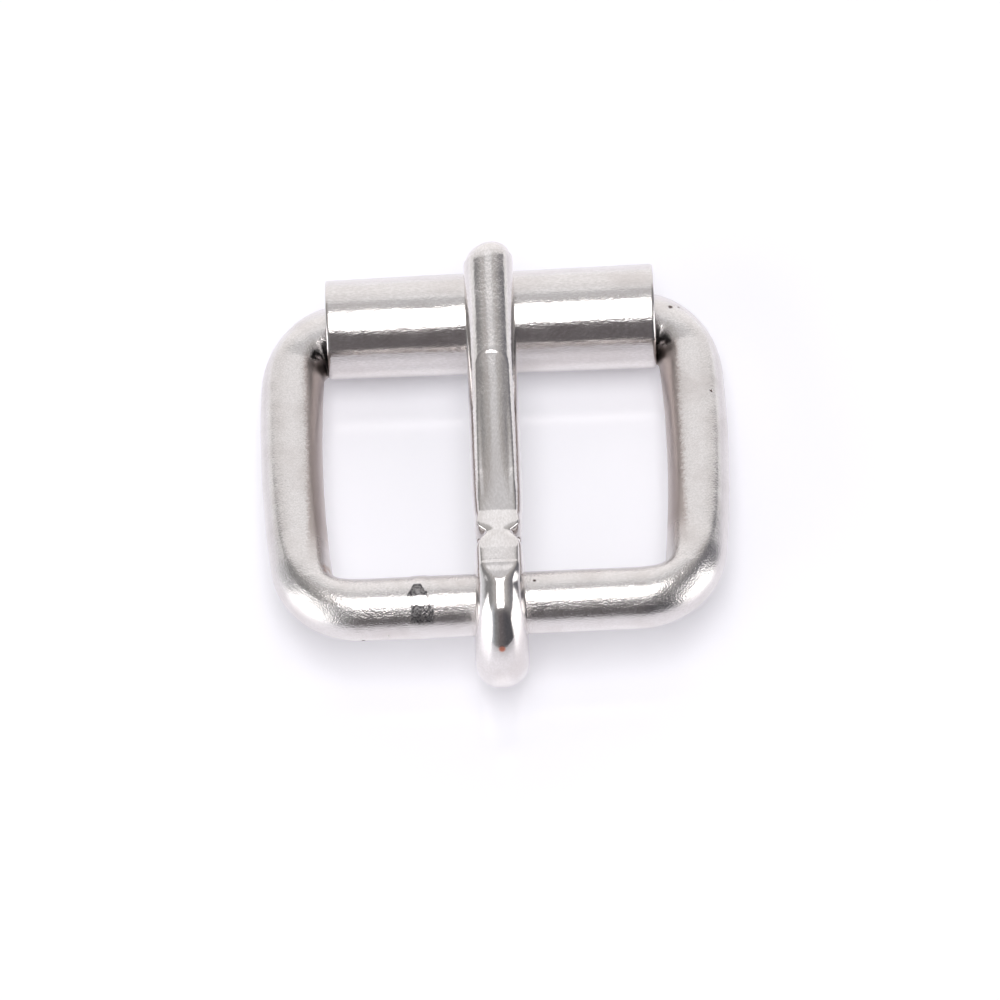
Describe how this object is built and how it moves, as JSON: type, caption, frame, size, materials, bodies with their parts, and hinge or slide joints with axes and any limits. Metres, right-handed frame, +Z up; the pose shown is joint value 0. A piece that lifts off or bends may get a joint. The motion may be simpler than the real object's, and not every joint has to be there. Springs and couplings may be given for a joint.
{
  "type": "roller buckle",
  "caption": "Bent wire buckle frame with a tube roller on the far bar and a wire prong looped round the near bar, for a 25 mm strap.",
  "frame": {"origin": "middle of the buckle's outline on the surface that it lies on", "axes": "+Y from the near bar, which the prong turns on, to the roller; +X to the right along the bars; +Z up, away from the surface"},
  "size_m": [0.034, 0.0348, 0.0121],
  "materials": {
    "frame_plating": "bright nickel plate on bent steel wire, faint grain on the pressed flats",
    "roller_plating": "bright nickel plate on rolled sheet steel",
    "prong_plating": "bright nickel plate on pressed steel wire, fine drawn lines along it"
  },
  "bodies": {
    "frame": {"frame": "frame_plating"},
    "roller": {"roller": "roller_plating"},
    "prong": {"prong": "prong_plating"}
  },
  "joints": [
    {"name": "prong_hinge", "type": "hinge", "parent": "frame", "child": "prong", "pos_m": [0, -0.0113, 0.00607], "axis": [1, 0, 0], "range_deg": [0, 180]},
    {"name": "roller_spin", "type": "hinge", "parent": "frame", "child": "roller", "pos_m": [0, 0.01362, 0.00375], "axis": [1, 0, 0], "continuous": true}
  ]
}
